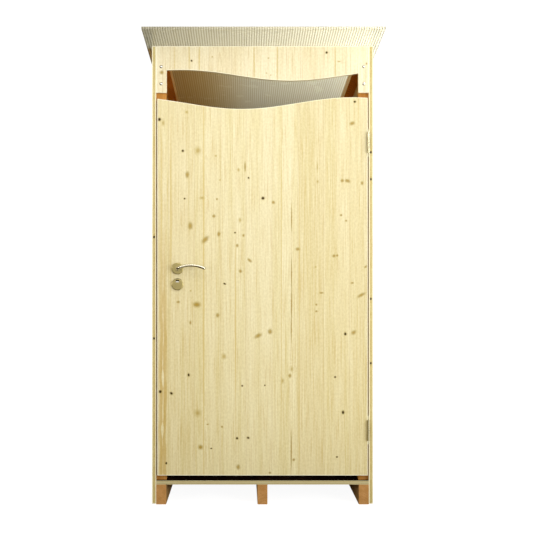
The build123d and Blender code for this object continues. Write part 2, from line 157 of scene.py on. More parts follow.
class Graph:
    """Adds nodes to one shader node tree and links them."""

    def __init__(self, tree: bpy.types.NodeTree) -> None:
        """Keeps the tree that the nodes go into."""
        self.tree = tree

    def put(self, socket: bpy.types.NodeSocket, value: Feed) -> None:
        """Links a socket to another one, or sets its plain value.

        Args:
            socket: Input to feed.
            value: What goes in.
        """
        if isinstance(value, Wire):
            self.tree.links.new(value.socket, socket)
        else:
            socket.default_value = value

    def add(self, kind: str, *values: Feed, **named: object) -> Wire:
        """Adds a node.

        Args:
            kind: Node type without its ShaderNode prefix.
            values: Its first inputs.
            named: Its properties in small letters, and inputs by name with _ for a space.

        Returns:
            The node's first output.
        """
        made = self.tree.nodes.new("ShaderNode" + kind)
        for name in [name for name in named if name.islower()]:
            setattr(made, name, named.pop(name))
        for socket, value in zip(made.inputs, values):
            self.put(socket, value)
        for name, value in named.items():
            self.put(made.inputs[name.replace("_", " ")], value)
        return Wire(self, next(iter(made.outputs), None))

    def math(self, operation: str, *values: Feed) -> Wire:
        """Result of a Math node."""
        return self.add("Math", *values, operation=operation)

    def vector(self, operation: str, *values: Feed) -> Wire:
        """Result of a Vector Math node, a number for a length."""
        made = self.add("VectorMath", *values, operation=operation)
        return made.output("Value" if operation in ("LENGTH", "DOT_PRODUCT") else "Vector")

    def join(self, x: Feed, y: Feed, z: Feed) -> Wire:
        """Vector from three parts."""
        return self.add("CombineXYZ", x, y, z)

    def choose(self, factor: Feed, first: Feed, second: Feed) -> Wire:
        """Mixes two numbers.

        Args:
            factor: Share of the second number.
            first: Number at factor 0.
            second: Number at factor 1.

        Returns:
            The mixed number.
        """
        made = self.add("Mix", factor, data_type="FLOAT")
        for index, value in ((2, first), (3, second)):
            self.put(made.socket.node.inputs[index], value)
        return made

    def blend(self, factor: Feed, first: Feed, second: Feed, kind: str = "MIX") -> Wire:
        """Mixes two colours.

        Args:
            factor: Share of the second colour.
            first: Colour at factor 0.
            second: Colour at factor 1.
            kind: Blend type of the Mix node.

        Returns:
            The mixed colour.
        """
        made = self.add("Mix", factor, data_type="RGBA", blend_type=kind, clamp_result=True)
        node = made.socket.node
        for index, value in ((6, first), (7, second)):
            self.put(node.inputs[index], (*value, 1.0) if isinstance(value, tuple) else value)
        return Wire(self, node.outputs[2])

    def times(self, colour: Feed, tint: Feed) -> Wire:
        """Colour multiplied by a tint."""
        return self.blend(1.0, colour, tint, "MULTIPLY")

    def tinted(self, share: Feed, colour: Feed, tint: Feed) -> Wire:
        """Colour of which a share is multiplied by a tint."""
        return self.blend(share, colour, self.times(colour, tint))

    def noise(self, place: Wire, stretch: Triple, detail: float = 2.0) -> Wire:
        """Noise over a place in metres, stretched to cycles per metre along each part."""
        scaled = self.vector("MULTIPLY", place, stretch)
        return self.add("TexNoise", Vector=scaled, Scale=1.0, Detail=detail)

    def dice(self, number: Feed) -> tuple[Wire, Wire, Wire]:
        """Three random values between 0 and 1 that depend on a number."""
        return self.add("TexWhiteNoise", W=number, noise_dimensions="1D").output("Color").parts()


class Effect:
    """Shader node group with named sockets, built once and placed in materials."""

    name: ClassVar[str] = ""
    takes: ClassVar[dict[str, float | tuple]] = {}  # Input sockets with their starting values
    gives: ClassVar[tuple[str, ...]] = ()  # Output sockets
    trees: ClassVar[dict[str, bpy.types.NodeTree]] = {}  # Trees made so far, by name

    def wire(self, graph: Graph, take: dict[str, Wire]) -> Iterable[Feed]:
        """Builds the group's nodes and returns a feed for each output."""
        raise NotImplementedError

    def tree(self) -> bpy.types.NodeTree:
        """Builds the group on first use.

        Returns:
            The group's node tree.
        """
        if self.name not in self.trees:
            tree = bpy.data.node_groups.new(self.name, "ShaderNodeTree")
            for label, start in self.takes.items():
                kind = "NodeSocketVector" if isinstance(start, tuple) else "NodeSocketFloat"
                made = tree.interface.new_socket(label, in_out="INPUT", socket_type=kind)
                made.default_value = start
            for label in self.gives:
                tree.interface.new_socket(label, in_out="OUTPUT", socket_type="NodeSocketFloat")
            entry = tree.nodes.new("NodeGroupInput")
            leave = tree.nodes.new("NodeGroupOutput")
            graph = Graph(tree)
            take = {socket.name: Wire(graph, socket) for socket in entry.outputs if socket.name}
            for socket, value in zip(leave.inputs, self.wire(graph, take)):
                graph.put(socket, value)
            self.trees[self.name] = tree
        return self.trees[self.name]

    def place(self, graph: Graph, **values: Feed) -> dict[str, Wire]:
        """Adds the group to a tree with inputs by name, and returns its outputs by name."""
        made = graph.add("Group", node_tree=self.tree(), **values)
        return {label: made.output(label) for label in self.gives}


# ---- effects shared by materials ----
class BoardGrain(Effect):
    """Growth rings of a board cut from a log, with streaks and fibre along it.

    Across is measured from the board's middle and Depth from its face. The nearer the
    log's heart lies to the face, the wider the pattern of its rings.
    """

    name = "board grain"
    takes = {"Across": 0.0, "Depth": 0.0, "Along": 0.0, "Board": 0.0, "Ring Width": 0.0026,
             "Heart": 0.1, "Swell": 0.0}
    gives = ("Rings", "Streaks", "Bands", "Fibre", "Flecks", "Tone", "Vividness")

    def wire(self, graph: Graph, take: dict[str, Wire]) -> Iterable[Feed]:
        """Builds the ring, streak and fibre patterns.

        Args:
            graph: The group's tree.
            take: Its inputs by name.

        Returns:
            A feed for each output.
        """
        across, depth, along, board = (take[n] for n in ("Across", "Depth", "Along", "Board"))
        first, second, third = graph.dice(board)
        fourth, fifth, sixth = graph.dice(board + 0.37)
        shift = graph.vector("MULTIPLY", graph.join(board, board, board), (1.7, 0.9, 2.3))
        place = graph.vector("ADD", graph.join(across, depth, along), shift)
        sway = graph.noise(place, (5.0, 5.0, 0.8), 1.5).output("Color").parts()
        sideways = (first - 0.5) * 0.12 + (sway[0] - 0.5) * 0.04 + (second - 0.5) * 0.02 * along
        below = take["Heart"] * (third**2.0).spread(0.08, 1.0)
        below = below + (sway[1] - 0.5) * 0.03 + (fourth - 0.5) * 0.024 * along
        radius = graph.vector("LENGTH", graph.join(across - sideways, depth + below, 0.0))
        ruffle = graph.noise(place, (60.0, 60.0, 2.5))
        count = radius / (take["Ring Width"] * fifth.spread(0.7, 1.3))
        count = count + ruffle * 0.9 + take["Swell"]
        part = graph.math("FRACT", count)
        year = graph.dice(graph.math("FLOOR", count) + board)[0]
        rings = part.fade(0.3, 0.9) * part.fade(1.0, 0.93) * year.spread(0.35, 1.0)
        streaks = graph.noise(place, (190.0, 190.0, 5.0), 4.0)
        bands = graph.noise(place, (34.0, 34.0, 0.7), 4.0)
        fibre = graph.noise(place, (1500.0, 1500.0, 28.0))
        flecks = graph.noise(place, (130.0, 130.0, 85.0)).fade(0.35, 0.65)
        return rings, streaks, bands, fibre, flecks, sixth, second


class Flames(Effect):
    """Two strands of late wood that part and meet again up a board."""

    name = "flames"
    takes = {"Across": 0.0, "Along": 0.0}
    gives = ("Flames",)

    def wire(self, graph: Graph, take: dict[str, Wire]) -> Iterable[Feed]:
        """Builds the strands round the pale lozenges between them.

        Args:
            graph: The group's tree.
            take: Its inputs by name.

        Returns:
            A feed for each output.
        """
        across, along = take["Across"], take["Along"]
        slow = graph.noise(graph.join(0.0, 0.0, along), (1.0, 1.0, 4.5))
        drift, pace, opening = slow.output("Color").parts()
        beat = along * 27.0 + pace * 9.0
        half = abs(graph.math("SINE", beat)) * opening.spread(-0.012, 0.015)
        off = abs(across - (drift - 0.5) * 0.018)
        ragged = graph.noise(graph.join(across, 0.0, along), (220.0, 1.0, 9.0), 3.0)
        outer = (off + (ragged - 0.5) * 0.016).fade(0.0205, 0.0105)
        return ((off - half).fade(-0.0005, 0.0022) * outer,)


class PlyLayers(Effect):
    """Which of the three layers of a board lies at a depth from 0 to 1."""

    name = "ply layers"
    takes = {"Through": 0.0, "Skin": 0.29}
    gives = ("Core", "Back", "Glue")

    def wire(self, graph: Graph, take: dict[str, Wire]) -> Iterable[Feed]:
        """Builds the masks of the core, the back layer and the glue lines.

        Args:
            graph: The group's tree.
            take: Its inputs by name.

        Returns:
            A feed for each output.
        """
        through, skin = take["Through"], take["Skin"]
        far = 1.0 - skin
        back = through > far
        glue = abs(through - skin).least(abs(through - far)).fade(0.02, 0.008)
        return (through > skin) - back, back, glue


class Lamellas(Effect):
    """Boards glued side by side, with the number of each and the joint between them."""

    name = "lamellas"
    takes = {"Across": 0.0, "Start": 0.0, "Width": 0.117, "Layer": 0.0}
    gives = ("Board", "Local", "Joint")

    def wire(self, graph: Graph, take: dict[str, Wire]) -> Iterable[Feed]:
        """Builds the board number, the place in the board and the joint line.

        Args:
            graph: The group's tree.
            take: Its inputs by name.

        Returns:
            A feed for each output.
        """
        layer, width = take["Layer"], take["Width"]
        count = (take["Across"] - (take["Start"] + layer * 0.043)) / width
        number = graph.math("FLOOR", count)
        local = (count - number - 0.5) * width
        to_joint = width * 0.5 - abs(local)
        return number + layer * 31.0, local, to_joint.fade(0.0011, 0.0002)


class ScatteredKnots(Effect):
    """Knots strewn over a board's face: most of them small, a few larger."""

    name = "scattered knots"
    takes = {"Across": 0.0, "Along": 0.0, "Layer": 0.0, "Spacing": 7.0, "Largest": 0.012}
    gives = ("Knot", "Rim", "Halo", "Swell")

    def wire(self, graph: Graph, take: dict[str, Wire]) -> Iterable[Feed]:
        """Builds the knot, its dark rim, the tinted wood round it and the bent grain.

        Args:
            graph: The group's tree.
            take: Its inputs by name.

        Returns:
            A feed for each output.
        """
        spacing = take["Spacing"]
        place = graph.join(take["Across"], take["Along"] * 0.8, take["Layer"] * 5.3)
        cells = graph.add("TexVoronoi", Vector=place, Scale=spacing, Randomness=1.0)
        roll = cells.output("Color").parts()[0]
        size = roll**3.0 * take["Largest"] + 0.0015
        reach = cells.output("Distance") / (size * spacing)
        reach = reach + graph.noise(place, (160.0, 160.0, 160.0)).spread(-0.2, 0.2)
        knot = reach.fade(1.0, 0.8)
        rim = knot * reach.fade(0.5, 0.95)
        return knot, rim, reach.fade(3.0, 0.9), reach.fade(5.0, 0.6) * 3.0


class PlacedMarks(Effect):
    """Knots or streaks of one shade at chosen places on one panel."""

    takes = {"Across": 0.0, "Along": 0.0}
    gives = ("Reach",)
    batch: ClassVar[int] = 6

    def __init__(self, name: str, placed: Sequence[Mark]) -> None:
        """Keeps the group's name and the marks."""
        self.name = name
        self.marks = placed

    def wire(self, graph: Graph, take: dict[str, Wire]) -> Iterable[Feed]:
        """Builds the distance to the nearest mark, 1 at its outline.

        Args:
            graph: The group's tree.
            take: Its inputs by name.

        Returns:
            A feed for each output.
        """
        place = graph.join(take["Across"], 0.0, take["Along"])
        ruffle = graph.noise(place, (120.0, 1.0, 90.0)).output("Color")
        ruffle = graph.vector("SUBTRACT", ruffle, (0.5, 0.5, 0.5))
        push = graph.vector("MULTIPLY", ruffle, (0.004, 0.0, 0.004))
        place = graph.vector("ADD", place, push)
        nearest: Feed = 9.0
        for index, mark in enumerate(self.marks):
            if index and index % self.batch == 0:
                # Waits for the marks so far, so that few values are held at once.
                place = graph.vector("MINIMUM", place, nearest + 100.0)
            turned = graph.add(
                "Mapping",
                place,
                (mark.across * MM, 0.0, mark.along * MM),
                (0.0, -math.radians(mark.tilt), 0.0),
                (mark.width * MM / 2, 1.0, mark.height * MM / 2),
                vector_type="TEXTURE",
            )
            nearest = graph.vector("LENGTH", turned).least(nearest)
        return (nearest,)


class Dust(Effect):
    """Cloudy traces of dust and handling."""

    name = "dust and handling"
    takes = {"Place": (0.0, 0.0, 0.0), "Coarseness": 6.0}
    gives = ("Clouds", "Specks")

    def wire(self, graph: Graph, take: dict[str, Wire]) -> Iterable[Feed]:
        """Builds soft clouds and fine specks.

        Args:
            graph: The group's tree.
            take: Its inputs by name.

        Returns:
            A feed for each output.
        """
        place = graph.vector("SCALE", take["Place"])
        graph.put(place.socket.node.inputs["Scale"], take["Coarseness"])
        clouds = graph.noise(place, (1.0, 1.0, 1.0), 5.0)
        specks = graph.noise(place, (60.0, 60.0, 60.0))
        return clouds.fade(0.42, 0.7), specks.fade(0.62, 0.72)


class EdgeHighlightMask(Effect):
    """Mask of a board's edges, where the wood is sanded paler and a highlight is painted."""

    name = "rubbed edges"
    takes = {"Width": 0.007}
    gives = ("Edges",)

    def wire(self, graph: Graph, take: dict[str, Wire]) -> Iterable[Feed]:
        """Builds a mask that is 1 on the edges and 0 on flat faces.

        Args:
            graph: The group's tree.
            take: Its inputs by name.

        Returns:
            A feed for each output.
        """
        rounded = graph.add("Bevel", Radius=take["Width"], samples=6)
        flat = graph.add("NewGeometry").output("True Normal")
        return (graph.vector("DOT_PRODUCT", rounded, flat).fade(0.999, 0.95),)


class BrushMarks(Effect):
    """Fine marks that a brush leaves on metal."""

    name = "brush marks"
    takes = {"Place": (0.0, 0.0, 0.0)}
    gives = ("Marks",)

    def wire(self, graph: Graph, take: dict[str, Wire]) -> Iterable[Feed]:
        """Builds fine lines along X."""
        return (graph.noise(take["Place"], (180.0, 3200.0, 3200.0), 3.0),)


# ---- finishes ----
class Surface(Graph):
    """Graph of one material, with the place and the normal of its surface."""

    def __init__(self, name: str) -> None:
        """Makes an empty node material.

        Args:
            name: The material's name.
        """
        self.material = bpy.data.materials.new(name)
        self.material.use_nodes = True
        self.material.node_tree.nodes.clear()
        super().__init__(self.material.node_tree)
        # Place as one vector, in the row frame.
        self.spot = self.add("TexCoord").output("Object")

    @cached_property
    def place(self) -> tuple[Wire, Wire, Wire]:
        """The three parts of the place."""
        return self.spot.parts()

    @cached_property
    def facing(self) -> tuple[Wire, Wire, Wire]:
        """The three parts of the normal."""
        return self.spot.output("Normal").parts()

    def show(self, shader: Wire) -> bpy.types.Material:
        """Makes a shader the surface and returns the material."""
        self.add("OutputMaterial", Surface=shader)
        return self.material

    def principled(self, **values: Feed) -> bpy.types.Material:
        """Makes a Principled shader the surface and returns the material."""
        return self.show(self.add("BsdfPrincipled", **values))

    def bump(self, height: Feed, distance: float) -> Wire:
        """Normal from a height that varies over the surface."""
        return self.add("Bump", Height=height, Distance=distance)


@dataclass(frozen=True)
class BoardLayout:
    """How a board's grain lies in the row frame."""

    across: Axis  # Axis across the grain on the face
    along: Axis  # Axis along the grain
    through: Axis  # Axis through the thickness
    number: float = 0.0  # Board number that the random values come from
    start: float = 0.0  # Place of one joint between lamellas
    width: float = 0.117  # Width of a lamella
    room: float = 0.0  # Sign of the way to the room along the thickness, for the room's painted shade; 0 for no wall of the room


@dataclass(frozen=True)
class KnotColours:
    """Colours of knots and streaks, from the darkest to the palest."""

    dark: Colour = (0.045, 0.025, 0.002)
    brown: Colour = (0.37, 0.24, 0.03)
    soft: Colour = (0.50, 0.39, 0.12)
    straw: Colour = (0.63, 0.50, 0.19)


@dataclass(frozen=True)
class PlyFinish:
    """Clear three-ply spruce board."""

    pale: Colour = (0.87, 0.825, 0.585)  # Early wood
    ripe: Colour = (0.80, 0.74, 0.46)  # Darker bands of the early wood
    late: Colour = (0.66, 0.52, 0.22)  # Late wood of the growth rings
    flame: Colour = (0.60, 0.42, 0.12)  # Late wood of the board that has flames
    joint: Colour = (0.45, 0.30, 0.12)  # Joint between two boards
    glue: Colour = (0.30, 0.19, 0.08)  # Glue line between two layers
    end: Colour = (0.89, 0.85, 0.70)  # Tint of end grain
    core: Colour = (0.88, 0.85, 0.72)  # Tint of the core layer
    low_shade: Colour = (0.98, 0.97, 0.89)  # Painted shade: warmer, dimmer tint of the wood towards the ground
    room: Colour = (0.92, 0.74, 0.50)  # Painted shade: warmer, darker tint of the walls' faces that look into the dim room
    streak_and_highlight: Colour = (0.97, 0.95, 0.77)  # Colour of pale streaks, and of the edges: partly sanded wood, partly a painted highlight
    knots: KnotColours = KnotColours()  # Colours of knots and streaks

    def material(
        self,
        name: str,
        layout: BoardLayout,
        placed: Marks | None = None,
        gaps: Sequence[Mark] = (),
        flames: float | None = None,
    ) -> bpy.types.Material:
        """Material of one panel.

        Args:
            name: The panel's node, whose box gives its thickness.
            layout: How its grain lies.
            placed: Knots and streaks, and painted shade, at chosen places on its first face.
            gaps: Gaps in the core that show in the panel's front edge, their shade painted dark.
            flames: Place across the panel of the middle of a board with flames.

        Returns:
            The material.
        """
        graph = Surface(name.replace("_", " ") + " spruce")
        place, facing = graph.place, graph.facing
        low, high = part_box(name)
        near, far = low[layout.through], high[layout.through]
        depth = place[layout.through] - near
        layers = PlyLayers().place(graph, Through=depth / (far - near))
        core, back = layers["Core"], layers["Back"]
        layer = core * 2.0 + back + layout.number
        across = graph.choose(core, place[layout.across], place[layout.along])
        along = graph.choose(core, place[layout.along], place[layout.across])
        boards = Lamellas().place(
            graph, Across=across, Start=layout.start, Width=layout.width, Layer=layer
        )
        scattered = ScatteredKnots().place(graph, Across=across, Along=along, Layer=layer)
        if placed:
            front = 1.0 - core.most(back)
            away = 1.0 - front
            scattered = {label: value * away for label, value in scattered.items()}
            reaches = {
                shade: PlacedMarks(f"{name} {shade.value} marks", listed).place(
                    graph, Across=place[layout.across], Along=place[layout.along]
                )["Reach"]
                for shade, listed in placed.items()
            }
            for shade in (Shade.BROWN, Shade.SOFT):
                bend = reaches[shade].fade(3.5, 0.7) * 2.2 * front
                scattered["Swell"] = scattered["Swell"] + bend
        grain = BoardGrain().place(
            graph,
            Across=boards["Local"],
            Depth=depth,
            Along=along,
            Board=boards["Board"],
            Heart=0.09,
            Swell=scattered["Swell"],
        )
        colour = graph.blend(grain["Bands"].fade(0.36, 0.66), self.pale, self.ripe)
        vivid = (grain["Vividness"] ** 2.0).spread(0.2, 0.6)
        colour = graph.blend(grain["Rings"] * vivid, colour, self.late)
        colour = graph.blend(grain["Streaks"].fade(0.5, 0.3) * 0.4, colour, self.streak_and_highlight)
        colour = graph.blend(grain["Streaks"].fade(0.5, 0.72) * 0.55, colour, self.late)
        if flames is not None:
            offset = place[layout.across] - flames
            braid = Flames().place(graph, Across=offset, Along=place[layout.along])["Flames"]
            share = braid * along.fade(1.6, 0.6) * 0.72 * (1.0 - core)
            colour = graph.blend(share, colour, self.flame)
        for label, dimmed in (
            ("Tone", (0.93, 0.90, 0.84)),
            ("Fibre", (0.93, 0.92, 0.90)),
            ("Flecks", (0.93, 0.92, 0.885)),
        ):
            colour = graph.times(colour, graph.blend(grain[label], dimmed, WHITE))
        # Painted shade: the wood turns warmer and dimmer towards the ground
        colour = graph.tinted(place[Axis.Z].fade(1.5, 0.1), colour, self.low_shade)
        colour = graph.blend(boards["Joint"] * 0.4, colour, self.joint)
        colour = graph.blend(scattered["Halo"] * 0.3, colour, self.knots.straw)
        colour = graph.blend(scattered["Knot"] * 0.75, colour, self.knots.brown)
        colour = graph.blend(scattered["Rim"] * 0.8, colour, self.knots.dark)
        if placed:
            colour = self.marked(graph, colour, reaches, front)
        # Painted shade: the gaps are not cut in the mesh, so their dark shade is painted
        if gaps:
            reach = PlacedMarks(f"{name} gaps", gaps).place(
                graph, Across=place[layout.through], Along=place[layout.along]
            )["Reach"]
            share = reach.fade(1.2, 0.8) * (facing[layout.across] < -SQUARE) * 0.96
            colour = graph.blend(share, colour, self.knots.dark)
        ending = graph.choose(core, facing[layout.along], facing[layout.across])
        colour = graph.tinted(abs(ending) > SQUARE, colour, self.end)
        # Painted shade on the faces that look into the room
        if layout.room:
            room_shade_mask = facing[layout.through] * layout.room > SQUARE
            colour = graph.tinted(room_shade_mask, colour, self.room)
        colour = graph.tinted(core, colour, self.core)
        colour = graph.blend(layers["Glue"] * 0.55, colour, self.glue)
        # Painted highlight along the edges, over wood that sanding made paler
        edges = EdgeHighlightMask().place(graph)["Edges"]
        edges = edges * abs(facing[Axis.X]).spread(0.85, 0.1)
        relief = grain["Rings"] * 0.5 + grain["Fibre"] * 0.5
        relief = relief + boards["Joint"] * -0.8 + layers["Glue"] * -0.5
        return graph.principled(
            Base_Color=graph.blend(edges, colour, self.streak_and_highlight),
            Roughness=grain["Streaks"].spread(0.52, 0.72),
            Normal=graph.bump(relief, 0.00018),
            Specular_IOR_Level=0.1,
        )

    def marked(self, graph: Graph, colour: Wire, reaches: dict[Shade, Wire], front: Wire) -> Wire:
        """Lays the marks over the wood's colour.

        Args:
            graph: The panel's material.
            colour: Colour of the plain wood.
            reaches: Distance to the nearest mark of each shade.
            front: Mask of the face that carries the marks.

        Returns:
            The colour with its marks.
        """
        looks = {
            Shade.STRAW: (self.knots.straw, 1.5, 0.2, 0.8),
            Shade.SOFT: (self.knots.soft, 1.6, 0.1, 0.66),
            Shade.BROWN: (self.knots.brown, 1.6, 0.2, 0.78),
            Shade.DARK: (self.knots.dark, 1.45, 0.6, 0.96),
            # Painted shade inside the hollow lock rose
            Shade.STAIN: (self.knots.dark, 1.1, 0.9, 0.98),
        }
        for shade, (tint, outer, inner, share) in looks.items():
            if shade not in reaches:
                continue
            reach = reaches[shade]
            if shade in (Shade.BROWN, Shade.DARK):
                halo = reach.fade(2.3, 1.0) * front * 0.4
                colour = graph.blend(halo, colour, self.knots.soft)
            cover = reach.fade(outer, inner) * front * share
            colour = graph.blend(cover, colour, tint)
            if shade is Shade.BROWN:
                colour = graph.blend(reach.fade(0.55, 0.9) * cover * 0.35, colour, self.knots.dark)
            if shade is Shade.SOFT:
                colour = graph.blend(reach.fade(0.7, 0.3) * cover * 0.45, colour, self.knots.brown)
        return colour


@dataclass(frozen=True)
class FilmBoardFinish:
    """Many-layered plywood with a dark, ribbed film on both faces and plain edges."""

    film: Colour = (0.014, 0.006, 0.003)  # Colour of the film
    worn: Colour = (0.030, 0.016, 0.010)  # Colour of the film where feet have dulled it
    light: Colour = (0.57, 0.53, 0.31)  # Colour of the light plies
    dark: Colour = (0.50, 0.42, 0.22)  # Colour of the plies that show end grain
    pores: Colour = (0.36, 0.26, 0.12)  # Colour of the pores in end grain
    ply: float = 0.0042  # Thickness of one ply
    mesh: float = 0.0045  # Pitch of the film's anti-slip mesh

    def material(self, name: str) -> bpy.types.Material:
        """Material of the floor panel.

        Args:
            name: The panel's node.

        Returns:
            The material.
        """
        graph = Surface(name.replace("_", " ") + " film board")
        x, y, z = graph.place
        face = abs(graph.facing[Axis.Z]) > SQUARE
        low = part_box(name)[0]
        layers = graph.math("PINGPONG", (z - low.z) / self.ply, 1.0)
        turned = layers.fade(0.42, 0.58)
        streaks = graph.noise(graph.spot, (9.0, 9.0, 900.0), 3.0)
        pores = graph.noise(graph.spot, (500.0, 500.0, 900.0))
        edge = graph.blend(turned, self.light, self.dark)
        edge = graph.blend(streaks.fade(0.4, 0.75), edge, self.dark)
        edge = graph.blend(pores.fade(0.5, 0.7) * turned, edge, self.pores)
        clouds = Dust().place(graph, Place=graph.spot, Coarseness=5.0)["Clouds"]
        film = graph.blend(clouds, self.film, self.worn)
        ridges = [graph.math("PINGPONG", part / self.mesh, 0.5) for part in (x, y)]
        mesh = graph.math("MINIMUM", *ridges).fade(0.16, 0.04)
        return graph.principled(
            Base_Color=graph.blend(face, edge, film),
            Roughness=graph.choose(face, 0.7, clouds.spread(0.55, 0.7)),
            Normal=graph.bump(mesh * face, 0.0003),
            Specular_IOR_Level=0.0,
        )


@dataclass(frozen=True)
class TimberFinish:
    """Sawn construction timber, warmer and darker than the panels."""

    pale: Colour = (0.71, 0.43, 0.175)  # Early wood
    ripe: Colour = (0.61, 0.35, 0.125)  # Darker bands
    late: Colour = (0.40, 0.20, 0.055)  # Late wood
    knot: Colour = (0.16, 0.08, 0.03)  # Knots
    end: Colour = (0.90, 0.82, 0.74)  # Tint of end grain
    underside_shade: Colour = (0.96, 0.96, 0.96)  # Painted shade: tint of the face that looks down

    def material(self, name: str, layout: BoardLayout) -> bpy.types.Material:
        """Material of one bar of timber.

        Args:
            name: The bar's node, whose box gives its middle.
            layout: How its grain lies.

        Returns:
            The material.
        """
        graph = Surface(name.replace("_", " ") + " timber")
        place, facing = graph.place, graph.facing
        low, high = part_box(name)
        across = place[layout.across] - middle(low, high)[layout.across]
        depth = place[layout.through] - low[layout.through]
        along = place[layout.along]
        knots = ScatteredKnots().place(
            graph, Across=across, Along=along, Layer=layout.number, Spacing=5.0
        )
        grain = BoardGrain().place(
            graph,
            Across=across,
            Depth=depth,
            Along=along,
            Board=layout.number,
            Ring_Width=0.0031,
            Heart=0.05,
            Swell=knots["Swell"],
        )
        colour = graph.blend(grain["Bands"].fade(0.35, 0.7), self.pale, self.ripe)
        colour = graph.blend(grain["Rings"] * 0.9, colour, self.late)
        colour = graph.blend(grain["Streaks"].fade(0.5, 0.8) * 0.6, colour, self.late)
        fibres = graph.blend(grain["Fibre"], (0.84, 0.82, 0.80), WHITE)
        colour = graph.times(colour, fibres)
        cut = abs(facing[layout.along]) > SQUARE
        side = 1.0 - cut
        colour = graph.blend(knots["Halo"] * side * 0.35, colour, self.late)
        colour = graph.blend(knots["Knot"] * side * 0.8, colour, self.knot)
        colour = graph.tinted(cut, colour, self.end)
        # Painted shade: faces that look down are darkened
        colour = graph.tinted(facing[Axis.Z] < -SQUARE, colour, self.underside_shade)
        saw = graph.noise(graph.spot, (420.0, 420.0, 420.0), 3.0)
        return graph.principled(
            Base_Color=colour,
            Roughness=saw.spread(0.66, 0.84),
            Normal=graph.bump(grain["Rings"] * 0.6 + grain["Fibre"] * 0.6 + saw, 0.0003),
            Specular_IOR_Level=0.08,
        )


@dataclass(frozen=True)
class SheetFinish:
    """Twin-wall plastic sheet that lets most light through."""

    tint: Colour = (0.78, 0.77, 0.71)  # Colour of the plastic's surface
    rib: Colour = (0.52, 0.50, 0.43)  # Colour along the ribs and at the cut ends
    dust: Colour = (0.55, 0.51, 0.40)  # Colour of the dust that lies on it
    drawn: Colour = (0.80, 0.79, 0.74)  # Tint of the marks that drawing the sheet leaves
    glow: Colour = (0.93, 0.92, 0.86)  # Colour of the light that it spreads between the ribs
    shaded: Colour = (0.38, 0.36, 0.30)  # Colour of the light that it spreads at the ribs
    clear: Colour = (0.93, 0.93, 0.89)  # Colour of the light that passes straight through
    left_shade_tint: Colour = (0.87, 0.78, 0.62)  # Painted shade: warm, dim tint over the left of the room
    cell_mouth_shade: Colour = (0.42, 0.39, 0.29)  # Painted shade in the upper side of the cells' open front ends
    shine: Colour = (0.95, 0.94, 0.90)  # Colour of its mirror image
    ior: float = 1.58  # Index of refraction of the plastic
    pitch: float = 0.011  # Distance from rib to rib
    thickness: float = 0.010  # Skin to skin
    fade_in: float = 0.034  # Where the painted shade in the cells' open ends starts, from the front edge
    full_in: float = 0.022  # Where it is at its darkest

    def material(self) -> bpy.types.Material:
        """Builds the roof sheet's material.

        Returns:
            The material.
        """
        graph = Surface("twin-wall sheet")
        sideways, back, height = graph.place
        low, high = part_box("roof_sheet")
        rise, run = math.sin(ROOF_FALL), math.cos(ROOF_FALL)
        # Upper half of the thickness, measured square to the slope.
        top = high.z * run + low.y * rise
        upper = height * run + back * rise > top - self.thickness / 2
        # Painted shade inside the open cell ends, near the front edge
        cell_mouth_shade = back.fade(low.y + self.fade_in, low.y + self.full_in) * upper
        # Painted shade over the room, from the back of the lintel on, stronger to the left.
        stain = sideways.fade(0.0, -0.42) * back.fade(-0.61, -0.57)
        steps = sideways / self.pitch + 0.5
        rib = abs(steps - graph.math("ROUND", steps)).fade(0.32, 0.18)
        dust = Dust().place(graph, Place=graph.spot, Coarseness=9.0)
        draw = graph.noise(graph.spot, (150.0, 1.2, 1.2))
        cut = abs(graph.facing[Axis.Y]) > SQUARE
        colour = graph.blend(rib, self.tint, self.rib)
        colour = graph.blend(dust["Clouds"] * 0.2, colour, self.dust)
        colour = graph.tinted(draw.fade(0.42, 0.7), colour, self.drawn)
        skin = graph.add(
            "BsdfPrincipled",
            Base_Color=graph.blend(cut, colour, self.rib),
            Roughness=dust["Clouds"].spread(0.14, 0.32),
            Normal=graph.bump(draw, 0.0002),
            IOR=self.ior,
        )
        lit = graph.blend(rib, self.glow, self.shaded)
        lit = graph.tinted(stain, lit, self.left_shade_tint)
        glow = graph.add("BsdfTranslucent", Color=graph.blend(cell_mouth_shade * 0.7, lit, self.cell_mouth_shade))
        passed = graph.blend(stain, self.clear, self.left_shade_tint)
        clear = graph.add("BsdfTransparent", Color=passed)
        body = graph.add("MixShader", 0.72, skin, glow)
        closed = rib.most(cut).most(dust["Specks"]).most(cell_mouth_shade)
        from_lamp = graph.add("LightPath").output("Is Shadow Ray")
        openness = closed.spread(0.40, 0.13).most(from_lamp * 0.8)
        sheet = graph.add("MixShader", openness, body, clear)
        shine = graph.add(
            "BsdfGlossy", Color=(*self.shine, 1.0), Roughness=draw.spread(0.12, 0.24)
        )
        inside = graph.add("NewGeometry").output("Backfacing")
        slant = graph.add("Fresnel", IOR=self.ior) * (1.0 - inside) * rib.spread(1.0, 0.4)
        return graph.show(graph.add("MixShader", slant, sheet, shine))


@dataclass(frozen=True)
class SteelFinish:
    """Steel fittings."""

    name: str  # The material's name
    colour: Colour  # Colour of the clean metal
    worn: Colour  # Colour where it was handled
    smooth: float  # Roughness where it is smoothest
    rough: float  # Roughness where it is roughest
    depth: float = 0.000004  # Depth of the brush marks

    def material(self) -> bpy.types.Material:
        """Builds the fittings' material.

        Returns:
            The material.
        """
        graph = Surface(self.name)
        brushed = BrushMarks().place(graph, Place=graph.spot)["Marks"]
        clouds = Dust().place(graph, Place=graph.spot, Coarseness=20.0)["Clouds"]
        colour = graph.blend(clouds * 0.5, self.colour, self.worn)
        return graph.principled(
            Base_Color=graph.blend(brushed * 0.25, colour, self.worn),
            Metallic=1.0,
            Roughness=(brushed * 0.6 + clouds * 0.4).spread(self.smooth, self.rough),
            Normal=graph.bump(brushed, self.depth),
        )


